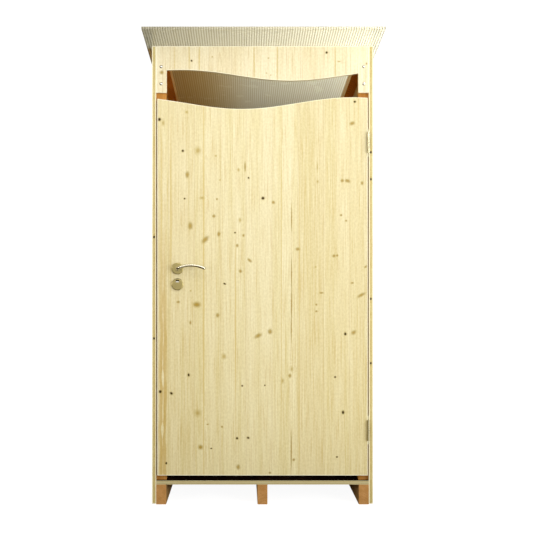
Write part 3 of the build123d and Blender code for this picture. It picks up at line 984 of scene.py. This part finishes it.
@dataclass(frozen=True)
class IndicatorFinish:
    """Indicator disc: white where the lock is free and red where it is shut."""

    free: Colour = (0.86, 0.86, 0.80)
    shut: Colour = (0.55, 0.03, 0.02)
    dust: Colour = (0.5, 0.47, 0.40)

    def material(self, node: str) -> bpy.types.Material:
        """Material of the disc, its sectors set out from the disc's middle.

        Args:
            node: The disc's node.

        Returns:
            The material.
        """
        graph = Surface("indicator paint")
        low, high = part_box(node)
        x, _, z = graph.vector("SUBTRACT", graph.spot, tuple(middle(low, high))).parts()
        shut = (x + abs(z)).fade(0.0003, -0.0003)
        clouds = Dust().place(graph, Place=graph.spot, Coarseness=120.0)["Clouds"]
        colour = graph.blend(shut, self.free, self.shut)
        return graph.principled(
            Base_Color=graph.blend(clouds * 0.12, colour, self.dust),
            Roughness=clouds.spread(0.28, 0.42),
        )


SPRUCE = PlyFinish()
# Lintel's spruce: paler than the door's; part of its paleness is painted light, lifting the lintel
# in the shade of the roof's overhang
PALE_SPRUCE = PlyFinish(pale=(0.945, 0.91, 0.74), ripe=(0.90, 0.85, 0.65))
RUNNER_TIMBER = TimberFinish()
POST_TIMBER = TimberFinish(
    pale=(0.66, 0.33, 0.085), ripe=(0.54, 0.24, 0.05), late=(0.34, 0.12, 0.02)
)
BATTEN_TIMBER = TimberFinish(
    pale=(0.92, 0.68, 0.37),
    ripe=(0.84, 0.58, 0.28),
    late=(0.60, 0.35, 0.12),
    # Painted shade under the battens, dark and orange
    underside_shade=(0.95, 0.47, 0.14),
)


class Steel(Enum):
    """Kinds of steel on the outhouse."""

    SATIN = SteelFinish("satin steel", (0.53, 0.46, 0.21), (0.44, 0.38, 0.165), 0.26, 0.38)
    HINGE = SteelFinish("hinge steel", (0.63, 0.59, 0.41), (0.55, 0.51, 0.34), 0.16, 0.26)
    LEVER = SteelFinish("polished steel", (0.78, 0.76, 0.62), (0.70, 0.67, 0.53), 0.14, 0.22)
    BRIGHT = SteelFinish("bright steel", (0.76, 0.75, 0.71), (0.66, 0.64, 0.58), 0.04, 0.10)

    def material(self) -> bpy.types.Material:
        """The kind's material, made on first use."""
        return bpy.data.materials.get(self.value.name) or self.value.material()


def dress(names: Iterable[str], material: bpy.types.Material) -> None:
    """Gives CAD nodes their finish.

    Args:
        names: The nodes.
        material: Their material.
    """
    for name in names:
        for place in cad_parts[name].material_slots:
            place.material = material
        log.info("dressed %s in %s", name, material.name)


# ---- small fasteners ----
@dataclass(frozen=True)
class ScrewHead:
    """Low screw head with a star recess."""

    radius: float = 0.0042  # Outer radius
    height: float = 0.0009  # How far it stands proud
    star: float = 0.0017  # Mean radius of the recess
    recess: float = 0.0006  # Depth of the recess
    sunk: float = 0.0002  # How far the rim lies below the surface
    lobe: float = 0.16  # Depth of the star's lobes, as a share of its radius

    segments: ClassVar[int] = 36
    lobes: ClassVar[int] = 6
    # Radius and height of the rings above the rim, as shares of the head's own.
    profile: ClassVar[tuple[tuple[float, float], ...]] = ((1.0, 0.35), (0.9, 0.8), (0.7, 1.0))

    def rings(self) -> list[list[Vector]]:
        """Sets out the head, pointing along +Z.

        Returns:
            Rings of points from the rim inwards.
        """
        turns = [2 * math.pi * i / self.segments for i in range(self.segments)]
        star = [self.star * (1 + self.lobe * math.cos(self.lobes * a)) for a in turns]
        outlines = [([self.radius] * self.segments, -self.sunk)]
        for share, rise in self.profile:
            outlines.append(([self.radius * share] * self.segments, self.height * rise))
        outlines += [(star, self.height), (star, self.height - self.recess)]
        return [
            [Vector((r * math.cos(a), r * math.sin(a), z)) for r, a in zip(radii, turns)]
            for radii, z in outlines
        ]

    def add(self, mesh: bmesh.types.BMesh, place: Matrix) -> None:
        """Adds one head to a mesh.

        Args:
            mesh: The mesh.
            place: Where the head goes and which way it points.
        """
        rings = [[mesh.verts.new(place @ point) for point in ring] for ring in self.rings()]
        for outer, inner in zip(rings, rings[1:]):
            for i in range(self.segments):
                j = (i + 1) % self.segments
                mesh.faces.new((outer[i], outer[j], inner[j], inner[i]))
        mesh.faces.new(rings[-1])
        mesh.faces.new(list(reversed(rings[0])))


def put_screws(
    name: str, body: str, spots: Sequence[Vector], facing: tuple, head: ScrewHead = ScrewHead()
) -> None:
    """Adds a set of screws as one piece.

    Args:
        name: The piece's name.
        body: Body that it rides on.
        spots: Places on the surface that they are driven into.
        facing: Direction out of that surface.
        head: Shape of each head.
    """
    mesh = bmesh.new()
    turn = Vector(facing).to_track_quat("Z", "Y").to_matrix().to_4x4()
    for index, spot in enumerate(spots):
        spin = Matrix.Rotation(SCREW_SPIN * index, 4, "Z")
        head.add(mesh, Matrix.Translation(spot) @ turn @ spin)
    bmesh.ops.recalc_face_normals(mesh, faces=mesh.faces)
    data = bpy.data.meshes.new(name)
    mesh.to_mesh(data)
    mesh.free()
    data.shade_smooth()
    data.set_sharp_from_angle(angle=SHARP_ANGLE)
    piece = bpy.data.objects.new(name, data)
    bpy.context.scene.collection.objects.link(piece)
    data.materials.append(Steel.BRIGHT.material())
    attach(piece, body)
    log.info("made %s: %d screws", name, len(spots))


def spaced(start: float, end: float, inset: float, count: int) -> list[float]:
    """Evenly spaced places between two ends, the first and last an inset from them."""
    start, end = start + inset, end - inset
    return [start + (end - start) * i / (count - 1) for i in range(count)]


# ---- the cabin ----
@dataclass
class CabinShell:
    """Side, back and lintel panels on their posts and runners."""

    post_margin: float = 0.10  # From a post's or a runner's end to its first screw
    batten_margin: float = 0.18  # The same for a side batten
    back_margin: float = 0.2  # The same for the back batten
    batten_sink: float = 0.001  # How far a side batten's screws lie below its middle
    post_screws: int = 6  # Screws up each post
    batten_screws: int = 4  # Screws along each side batten
    back_screws: int = 3  # Screws along the back batten
    runner_screws: int = 4  # Screws along each runner
    gap_size: tuple[float, float] = (9, 11)  # Width and height of each gap, in millimetres
    # Heights of the gaps that show in the front edge of each side panel, in millimetres
    core_gaps: dict[str, tuple[float, ...]] = field(
        default_factory=lambda: {"left": (751, 1210), "right": (639, 930, 1471, 1593)}
    )

    def dress_panels(self) -> None:
        """Gives the walls and the lintel their spruce."""
        for side, number, room in (("left", 5.0, 1.0), ("right", 9.0, -1.0)):
            name = f"side_panel_{side}"
            layout = BoardLayout(Axis.Y, Axis.Z, Axis.X, number=number, start=-0.6, room=room)
            x = middle(*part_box(name)).x / MM
            gaps = [Mark(x, height, *self.gap_size) for height in self.core_gaps[side]]
            dress([name], SPRUCE.material(name, layout, gaps=gaps))
        back = BoardLayout(Axis.X, Axis.Z, Axis.Y, number=13.0, start=-0.44, room=-1.0)
        dress(["back_panel"], SPRUCE.material("back_panel", back))
        lintel = BoardLayout(Axis.X, Axis.Z, Axis.Y, number=17.0, start=-0.038, width=0.104)
        dress(["lintel_panel"], PALE_SPRUCE.material("lintel_panel", lintel, LINTEL_MARKS))

    def post_spots(
        self, post: str, x: float | None = None, y: float | None = None
    ) -> list[Vector]:
        """Places of the screws up a post.

        Args:
            post: The post's node.
            x: Where the wall's outer face lies along X, or None for the post's middle.
            y: The same along Y.

        Returns:
            The places.
        """
        low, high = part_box(post)
        centre = middle(low, high)
        x, y = centre.x if x is None else x, centre.y if y is None else y
        heights = spaced(low.z, high.z, self.post_margin, self.post_screws)
        return [Vector((x, y, z)) for z in heights]

    def screw_side(self, side: str, sign: float) -> None:
        """Drives screws through a side panel into its posts, batten and runner.

        Args:
            side: Which panel, left or right.
            sign: Sign of its outward direction along X.
        """
        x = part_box(f"side_panel_{side}")[0 if sign < 0 else 1].x
        spots: list[Vector] = []
        for post in (f"front_post_{side}", f"back_post_{side}"):
            spots += self.post_spots(post, x=x)
        low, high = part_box(f"roof_batten_{side}")
        eaves = (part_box(f"front_post_{side}")[1].z + high.z) / 2 - self.batten_sink
        slope = math.tan(ROOF_FALL)
        for y in spaced(low.y, high.y, self.batten_margin, self.batten_screws):
            spots.append(Vector((x, y, eaves - (y - low.y) * slope)))
        low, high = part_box(f"runner_{side}")
        z = middle(low, high).z
        places = spaced(low.y, high.y, self.post_margin, self.runner_screws)
        spots += [Vector((x, y, z)) for y in places]
        put_screws(f"side_screws_{side}", "cabin", spots, (sign, 0, 0))

    def screw_back(self) -> None:
        """Drives screws through the back panel into its posts and batten."""
        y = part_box("back_panel")[1].y
        spots: list[Vector] = []
        for post in ("back_post_left", "back_post_right"):
            spots += self.post_spots(post, y=y)
        low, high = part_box("roof_batten_back")
        z = middle(low, high).z
        places = spaced(low.x, high.x, self.back_margin, self.back_screws)
        spots += [Vector((x, y, z)) for x in places]
        put_screws("back_screws", "cabin", spots, (0, 1, 0))

    def build(self) -> None:
        """Dresses the shell and drives its screws."""
        self.dress_panels()
        dress_bars(
            POST_TIMBER,
            ("front_post_left", "front_post_right", "back_post_left", "back_post_right"),
            BoardLayout(Axis.X, Axis.Z, Axis.Y, number=40.0),
        )
        dress_bars(RUNNER_TIMBER, RUNNERS, BoardLayout(Axis.X, Axis.Y, Axis.Z, number=44.0))
        self.screw_side("left", -1.0)
        self.screw_side("right", 1.0)
        self.screw_back()
        dress(["lintel_bolts"], Steel.BRIGHT.material())


def dress_bars(finish: TimberFinish, names: Sequence[str], layout: BoardLayout) -> None:
    """Gives bars of timber their finish, with board numbers that count up from the layout's."""
    for index, name in enumerate(names):
        dress([name], finish.material(name, replace(layout, number=layout.number + index)))


@dataclass
class Floor:
    """Floor panel on the runners."""

    margin: float = 0.12  # First and last screw's distance from the panel's ends
    screws: int = 4  # Screws along each runner

    def build(self) -> None:
        """Dresses the floor and screws it to the runners."""
        dress(["floor_panel"], FilmBoardFinish().material("floor_panel"))
        low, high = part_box("floor_panel")
        places = spaced(low.y, high.y, self.margin, self.screws)
        lines = [middle(*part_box(runner)).x for runner in RUNNERS]
        spots = [Vector((x, y, high.z)) for x in lines for y in places]
        put_screws("floor_screws", "cabin", spots, (0, 0, 1))


@dataclass
class Roof:
    """Twin-wall sheet on its battens."""

    finish: SheetFinish = SheetFinish()

    def build(self) -> None:
        """Dresses the sheet, its battens and its screws."""
        dress(["roof_sheet"], self.finish.material())
        dress(["roof_screws"], Steel.BRIGHT.material())
        sloped = BoardLayout(Axis.X, Axis.Y, Axis.Z, number=60.0)
        dress_bars(BATTEN_TIMBER, ("roof_batten_left", "roof_batten_right"), sloped)
        level = BoardLayout(Axis.Z, Axis.X, Axis.Y, number=62.0)
        dress_bars(BATTEN_TIMBER, ("roof_batten_front", "roof_batten_back"), level)


# Marks in the wood, a row each: across, along, width, height and, where it leans, tilt.
LINTEL_MARKS: Marks = {
    Shade.DARK: marks((-321, 2007, 8, 8), (290, 2044, 9, 9)),
    Shade.BROWN: marks((-456, 1954, 13, 13), (471, 1994, 6, 8)),
    Shade.SOFT: marks(
        (-227, 2025, 9, 9), (27, 2019, 9, 8), (346, 2004, 18, 8), (18, 1951, 7, 7),
        (37, 1942, 8, 6),
    ),
    Shade.STRAW: marks(
        (-397, 2000, 5, 300), (-332, 2020, 6, 200), (-286, 2010, 5, 260), (-38, 2000, 5, 300),
        (66, 2000, 5, 300), (328, 2000, 4, 300),
    ),
}

DOOR_MARKS: Marks = {
    # Painted shade: a dark patch on the door inside the hollow lock rose, seen through its
    # indicator window as the shade in the hollow.
    Shade.STAIN: marks((-384, 1008, 38, 30)),
    Shade.DARK: marks(
        (-466, 1741, 13, 13), (-360, 1599, 10, 10), (-352, 1383, 7, 7), (2, 1385, 12, 12),
        (-63, 1477, 7, 7), (417, 1821, 10, 9), (-124, 1229, 7, 7), (-171, 998, 11, 7, -20),
        (374, 772, 10, 13), (-334, 586, 9, 12), (328, 577, 8, 8), (-92, 537, 7, 7),
        (10, 539, 6, 6), (-462, 511, 12, 12), (-412, 503, 13, 10, -35), (364, 417, 11, 14),
        (-115, 300, 9, 9), (-65, 302, 11, 9, -20), (-232, 254, 8, 5), (336, 216, 8, 7),
        (-435, 187, 8, 10),
    ),
    Shade.BROWN: marks(
        (-340, 1491, 12, 22), (-220, 1304, 11, 11), (-206, 1381, 7, 7), (405, 1723, 18, 12, 20),
        (360, 1464, 12, 11), (384, 1463, 18, 12, -15), (450, 1453, 9, 13), (49, 1366, 11, 11),
        (355, 1308, 8, 8), (378, 1283, 7, 7), (-326, 1260, 15, 25), (-259, 1198, 30, 15, 45),
        (-198, 1223, 11, 16), (-86, 1217, 7, 9), (-114, 1171, 9, 11), (-58, 1104, 18, 9, -40),
        (-100, 1055, 11, 11), (-381, 916, 11, 8), (-297, 904, 24, 16), (-203, 856, 12, 15),
        (-326, 823, 7, 12), (-20, 763, 26, 13, 30), (159, 1155, 14, 11), (323, 1124, 11, 10),
        (337, 1126, 8, 8), (466, 1075, 11, 7, 40), (406, 1002, 9, 7), (446, 947, 30, 10, 28),
        (266, 957, 15, 6), (243, 904, 7, 7), (243, 874, 7, 7), (34, 782, 14, 17),
        (412, 778, 18, 13, 35), (124, 583, 10, 13), (-248, 363, 8, 5), (-183, 352, 7, 7),
        (-280, 260, 13, 13), (-110, 170, 12, 18), (33, 144, 9, 7), (141, 203, 9, 9),
        (131, 1293, 3.6, 95), (131, 1040, 4, 125), (131, 905, 5, 120), (130, 800, 4, 95),
        (130, 245, 4.5, 130), (-79, 1527, 6, 32),
    ),
    Shade.SOFT: marks(
        (-343, 1774, 15, 15), (-292, 1600, 30, 36), (-293, 414, 34, 34), (-280, 260, 24, 24),
        (-297, 904, 36, 26), (-174, 670, 22, 27), (132, 613, 17, 25), (91, 560, 15, 25),
        (-274, 1386, 24, 14), (-449, 1725, 14, 30), (-109, 1513, 12, 18), (-102, 1286, 13, 26),
        (247, 1527, 7, 46), (249, 1460, 11, 15), (-211, 1576, 11, 10), (-192, 1467, 9, 9),
        (240, 1074, 10, 10), (-325, 967, 9, 9),
    ),
    Shade.STRAW: marks(
        (-266, 1000, 8, 2600), (-414, 1300, 8, 900), (-455, 1420, 5, 700), (-122, 800, 8, 900),
        (85, 1100, 4, 1700), (166, 1050, 4, 1100), (165, 420, 5, 700),
    ),
}


@dataclass
class Door:
    """Door panel with its wavy top."""

    flames: float = -0.450  # Middle of the board whose grain runs in flames

    def build(self) -> None:
        """Dresses the door."""
        layout = BoardLayout(Axis.X, Axis.Z, Axis.Y, number=29.0, start=-0.385)
        material = SPRUCE.material("door_panel", layout, DOOR_MARKS, flames=self.flames)
        dress(["door_panel"], material)


@dataclass
class Hinges:
    """Two lift-off hinges and the screws in their leaves."""

    screws: int = 4  # Screws in each leaf
    margin: float = 0.014  # First and last screw's distance from a leaf's ends
    leaf: float = 0.002  # Thickness of a leaf
    inset: float = 0.009  # Distance of the screws from a leaf's back edge
    # Shape of each screw's head
    head: ScrewHead = ScrewHead(radius=0.0034, height=0.0004, star=0.0014, recess=0.0003)

    def build(self) -> None:
        """Dresses the leaves and pins and screws the leaves on."""
        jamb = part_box("side_panel_right")[0].x
        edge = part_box("door_panel")[1].x
        for height in ("lower", "upper"):
            names = [f"{height}_hinge_{part}" for part in ("frame_leaf", "door_leaf", "pin")]
            dress(names, Steel.HINGE.material())
            for part, body, face, sign in (
                ("frame_leaf", "cabin", jamb, -1.0),
                ("door_leaf", "door", edge, 1.0),
            ):
                low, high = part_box(f"{height}_hinge_{part}")
                x, y = face + self.leaf * sign, high.y - self.inset
                heights = spaced(low.z, high.z, self.margin, self.screws)
                spots = [Vector((x, y, z)) for z in heights]
                put_screws(f"{height}_{part}_screws", body, spots, (sign, 0, 0), self.head)


@dataclass
class LockSet:
    """Rim lock, roses, levers, privacy turn and strike plate."""

    inset: float = 0.011  # Distance of the screws from the edges of the case and the plate
    head: ScrewHead = ScrewHead(radius=0.0036, height=0.0008)  # Shape of each screw's head

    SATIN: ClassVar[tuple[str, ...]] = (
        "lock_case",
        "strike_plate",
        "handle_rose_outside",
        "handle_rose_inside",
        "lock_rose_outside",
        "lock_rose_inside",
        "handle_spindle",
        "privacy_shaft",
        "thumb_turn",
    )

    def build(self) -> None:
        """Dresses the fittings and adds the screws that hold them."""
        dress(self.SATIN, Steel.SATIN.material())
        dress(["lever_outside", "lever_inside"], Steel.LEVER.material())
        dress(["indicator_disc"], IndicatorFinish().material("indicator_disc"))
        low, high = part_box("lock_case")
        spots = [
            Vector((x, high.y, z))
            for x in spaced(low.x, high.x, self.inset, 2)
            for z in spaced(low.z, high.z, self.inset, 2)
        ]
        put_screws("lock_case_screws", "door", spots, (0, 1, 0), self.head)
        low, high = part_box("strike_plate")
        y = middle(low, high).y
        spots = [Vector((high.x, y, z)) for z in spaced(low.z, high.z, self.inset, 2)]
        put_screws("strike_screws", "cabin", spots, (1, 0, 0), self.head)


# ---- setting ----
@dataclass(frozen=True)
class SoftBox:
    """Rectangular lamp."""

    name: str  # The lamp's name
    place: Triple  # Its place
    aim: Triple  # Point that it faces
    size: tuple[float, float]  # Width and height
    power: float  # Watts

    def hang(self) -> None:
        """Adds the lamp to the scene."""
        data = bpy.data.lights.new(self.name, "AREA")
        data.shape = "RECTANGLE"
        data.size, data.size_y = self.size
        data.energy = self.power
        lamp = bpy.data.objects.new(self.name, data)
        lamp.location = self.place
        aim = Vector(self.aim) - Vector(self.place)
        lamp.rotation_euler = aim.to_track_quat("-Z", "Y").to_euler()
        lamp.visible_camera = False
        bpy.context.scene.collection.objects.link(lamp)


SOFT_BOXES = (
    SoftBox("right_box", (2.9, -4.0, 1.25), (0.0, -0.6, 1.25), (1.4, 1.2), 47.0),
    SoftBox("left_box", (-3.1, -4.0, 1.3), (0.0, -0.6, 1.3), (1.4, 1.2), 28.0),
    SoftBox("roof_box", (0.8, -0.5, 3.0), (0.55, -0.5, 2.0), (0.8, 0.5), 35.5),
    SoftBox("lintel_box", (-0.3, -1.85, 2.0), (-0.3, -0.6, 2.0), (1.2, 0.3), 4.2),
)


@dataclass
class Studio:
    """Pale floor, soft light and the camera."""

    distance: float = 4.3  # Camera's distance from the cabin's front
    eye: tuple[float, float] = (-0.088, 1.045)  # Camera's place sideways and its height
    lens: float = 64.2  # Focal length
    sensor: float = 36.0  # Width of the sensor
    shift: tuple[float, float] = (0.044, 0.013)  # Camera's shift
    floor_reach: float = 40.0  # Half of the floor's width
    floor_drop: float = 0.0005  # How far the floor lies below the runners

    def floor(self) -> None:
        """Lays the pale floor."""
        mesh = bmesh.new()
        bmesh.ops.create_grid(mesh, x_segments=8, y_segments=8, size=self.floor_reach)
        data = bpy.data.meshes.new("studio_floor")
        mesh.to_mesh(data)
        mesh.free()
        floor = bpy.data.objects.new("studio_floor", data)
        floor.location.z = -self.floor_drop
        bpy.context.scene.collection.objects.link(floor)
        data.materials.append(self.floor_material())

    def floor_material(self) -> bpy.types.Material:
        """Builds the floor's material, which the cabin sees darker than the camera does.

        Returns:
            The material.
        """
        graph = Surface("pale floor")
        sideways, back, _ = graph.place
        mottle = graph.noise(graph.spot, (0.7, 0.7, 0.7), 3.0)
        colour = graph.blend(mottle, (0.28, 0.28, 0.27), (0.32, 0.32, 0.31))
        matt = graph.add("BsdfDiffuse", Color=colour)
        lift = graph.add("Emission", Color=(*WHITE, 1.0), Strength=0.94)
        lit = graph.add("AddShader", matt, lift)
        side = sideways.fade(0.4, 2.2)
        before = back.fade(-0.8, -2.0) * sideways.fade(-0.7, 0.9)
        shade = graph.blend(side, (0.08, 0.062, 0.04), (0.50, 0.48, 0.42))
        shade = graph.blend(before, shade, (0.62, 0.59, 0.50))
        dull = graph.add("BsdfDiffuse", Color=shade)
        glare = before * side.spread(0.5, 0.95)
        card = graph.add("Emission", Color=(1.0, 0.96, 0.86, 1.0), Strength=glare)
        carded = graph.add("AddShader", dull, card)
        seen = graph.add("LightPath").output("Is Camera Ray")
        return graph.show(graph.add("MixShader", seen, carded, lit))

    def surroundings(self) -> None:
        """Soft light from all round: brighter above and to the right."""
        world = bpy.data.worlds.new("soft studio")
        bpy.context.scene.world = world
        world.use_nodes = True
        world.node_tree.nodes.clear()
        graph = Graph(world.node_tree)
        x, y, z = graph.add("TexCoord").output("Generated").parts()
        right = x.fade(-0.9, 0.9)
        ahead = y.fade(0.6, -0.3) * z.fade(-0.06, 0.0) * z.fade(0.55, 0.3).spread(0.55, 1.0)
        overhead = (z - y * 0.5).fade(0.96, 1.09)
        brightness = right * 0.12 + 0.05
        brightness = brightness + ahead * right.spread(0.56, 1.6)
        brightness = brightness + overhead * right.spread(0.0, 1.2)
        brightness = brightness + y.fade(0.1, 0.7) * 0.25
        colour = graph.blend(right, (1.0, 0.85, 0.63), WHITE)
        soft = graph.add("Background", Color=colour, Strength=brightness)
        white = graph.add("Background", Color=(*WHITE, 1.0), Strength=1.05)
        seen = graph.add("LightPath").output("Is Camera Ray")
        graph.add("OutputWorld", graph.add("MixShader", seen, soft, white))

    def camera(self) -> None:
        """Sets up the camera, level and square to the front."""
        data = bpy.data.cameras.new("camera")
        data.lens = self.lens
        data.sensor_width = self.sensor
        data.shift_x, data.shift_y = self.shift
        camera = bpy.data.objects.new("camera", data)
        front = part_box("side_panel_left")[0].y
        camera.location = (self.eye[0], front - self.distance, self.eye[1])
        camera.rotation_euler = (math.radians(90), 0.0, 0.0)
        bpy.context.scene.collection.objects.link(camera)
        bpy.context.scene.camera = camera

    def build(self) -> None:
        """Sets up the camera, the floor and the light."""
        self.camera()
        self.floor()
        self.surroundings()
        for box in SOFT_BOXES:
            box.hang()
        bpy.context.scene.view_settings.view_transform = "Standard"
        log.info("set up the studio")


def main() -> None:
    """Builds and dresses every sub-assembly in order."""
    logging.basicConfig(level=logging.INFO, format="%(name)s: %(message)s")
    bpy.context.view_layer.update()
    for part in (CabinShell(), Floor(), Roof(), Door(), Hinges(), LockSet()):
        part.build()
        log.info("finished %s", type(part).__name__)
    Studio().build()


if __name__ == "__main__":
    main()
